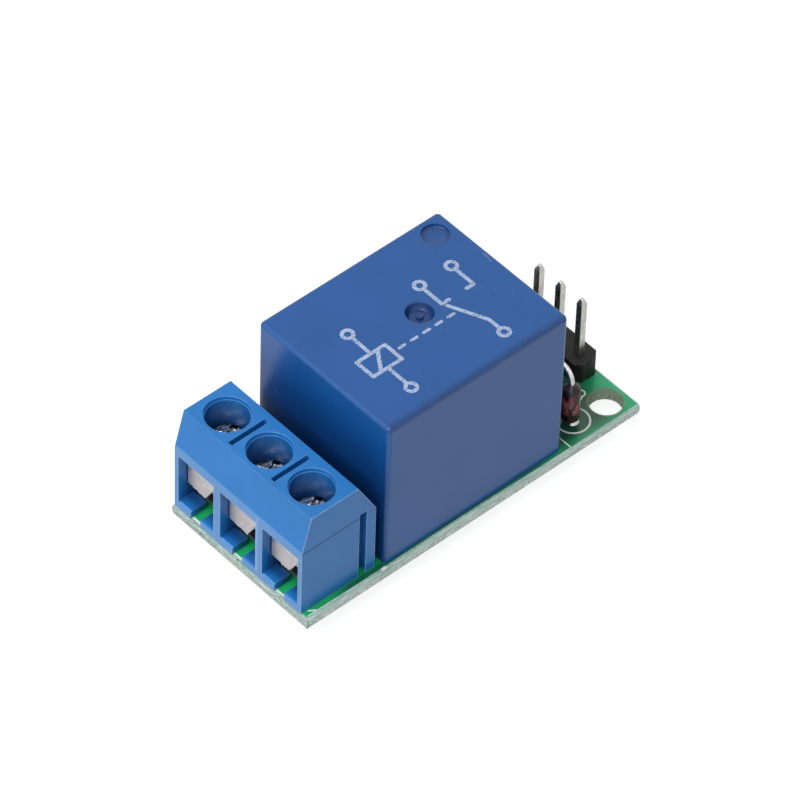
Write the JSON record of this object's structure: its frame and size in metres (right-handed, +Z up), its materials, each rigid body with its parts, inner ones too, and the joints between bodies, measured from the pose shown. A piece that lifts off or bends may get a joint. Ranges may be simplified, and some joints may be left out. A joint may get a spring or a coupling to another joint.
{
  "type": "relay module board",
  "caption": "Small circuit board with a screw terminal block, a sealed changeover relay and its driver parts, and a pin header for supply and control.",
  "frame": {"origin": "centre of the board in plan, on the plane that the soldered tails stand on", "axes": "+X along the board from the terminal block to the pin header, +Y across the board away from the mounting hole, +Z up, away from the solder side"},
  "size_m": [0.0362, 0.0164, 0.0186],
  "materials": {
    "board": "green solder mask over glass fibre board, snapped edges bare",
    "solder": "bright tin solder",
    "block_plastic": "bright blue moulded polyamide, satin",
    "case_plastic": "deep blue moulded case, fine matt grain",
    "bobbin_plastic": "natural moulded plastic",
    "copper_wire": "enamelled copper wire, close wound",
    "relay_iron": "plated soft iron",
    "spring_bronze": "rolled bronze strip",
    "contact_silver": "silver alloy rivets",
    "tinned_strip": "tinned stamped strip",
    "leaf_steel": "bright stamped strip",
    "screw_steel": "zinc plated steel",
    "header_plastic": "black moulded plastic",
    "tinned_pin": "tinned square wire",
    "tinned_lead": "tinned wire",
    "diode_glass": "amber red glass with a dark band",
    "resistor_coat": "beige lacquer with colour bands",
    "transistor_plastic": "black moulded epoxy"
  },
  "bodies": {
    "module": {"board": "board", "solder_joints": "solder", "terminal_housing": "block_plastic", "contact_frame_1": "tinned_strip", "contact_frame_2": "tinned_strip", "contact_frame_3": "tinned_strip", "relay_case": "case_plastic", "relay_base": "case_plastic", "coil_bobbin": "bobbin_plastic", "coil_winding": "copper_wire", "coil_pin_1": "tinned_lead", "coil_pin_2": "tinned_lead", "iron_core": "relay_iron", "iron_yoke": "relay_iron", "common_strip": "spring_bronze", "open_strip": "spring_bronze", "closed_strip": "spring_bronze", "open_contact": "contact_silver", "closed_contact": "contact_silver", "header_body": "header_plastic", "header_pin_1": "tinned_pin", "header_pin_2": "tinned_pin", "header_pin_3": "tinned_pin", "diode_glass": "diode_glass", "diode_lead_low": "tinned_lead", "diode_lead_high": "tinned_lead", "resistor_body": "resistor_coat", "resistor_lead_low": "tinned_lead", "resistor_lead_high": "tinned_lead", "transistor_body": "transistor_plastic", "transistor_leg_1": "tinned_lead", "transistor_leg_2": "tinned_lead", "transistor_leg_3": "tinned_lead"},
    "leaf_1": {"wire_leaf_1": "leaf_steel"},
    "screw_1": {"clamp_screw_1": "screw_steel"},
    "leaf_2": {"wire_leaf_2": "leaf_steel"},
    "screw_2": {"clamp_screw_2": "screw_steel"},
    "leaf_3": {"wire_leaf_3": "leaf_steel"},
    "screw_3": {"clamp_screw_3": "screw_steel"},
    "armature": {"armature": "relay_iron", "contact_spring": "spring_bronze", "moving_contact": "contact_silver"}
  },
  "joints": [
    {"name": "leaf_1_slide", "type": "slide", "parent": "module", "child": "leaf_1", "axis": [0, 0, -1], "range_m": [-0.0008, 0.001]},
    {"name": "screw_1_turn", "type": "hinge", "parent": "leaf_1", "child": "screw_1", "pos_m": [-0.0147, -0.00478, 0.01085], "axis": [0, 0, -1], "range_deg": [-640.1, 800.1]},
    {"name": "leaf_2_slide", "type": "slide", "parent": "module", "child": "leaf_2", "axis": [0, 0, -1], "range_m": [-0.0008, 0.001]},
    {"name": "screw_2_turn", "type": "hinge", "parent": "leaf_2", "child": "screw_2", "pos_m": [-0.0147, 0.0003, 0.01085], "axis": [0, 0, -1], "range_deg": [-640.1, 800.1]},
    {"name": "leaf_3_slide", "type": "slide", "parent": "module", "child": "leaf_3", "axis": [0, 0, -1], "range_m": [-0.0008, 0.001]},
    {"name": "screw_3_turn", "type": "hinge", "parent": "leaf_3", "child": "screw_3", "pos_m": [-0.0147, 0.00538, 0.01085], "axis": [0, 0, -1], "range_deg": [-640.1, 800.1]},
    {"name": "armature_pull", "type": "hinge", "parent": "module", "child": "armature", "pos_m": [0.0053, 0, 0.0143], "axis": [0, -1, 0], "range_deg": [0, 2], "stiffness_Nm_per_rad": 0.01, "springref_deg": -3.44}
  ],
  "couplings": [
    {"joint": "screw_1_turn", "follows": "leaf_1_slide", "rad_per_m": 13963},
    {"joint": "screw_2_turn", "follows": "leaf_2_slide", "rad_per_m": 13963},
    {"joint": "screw_3_turn", "follows": "leaf_3_slide", "rad_per_m": 13963}
  ]
}
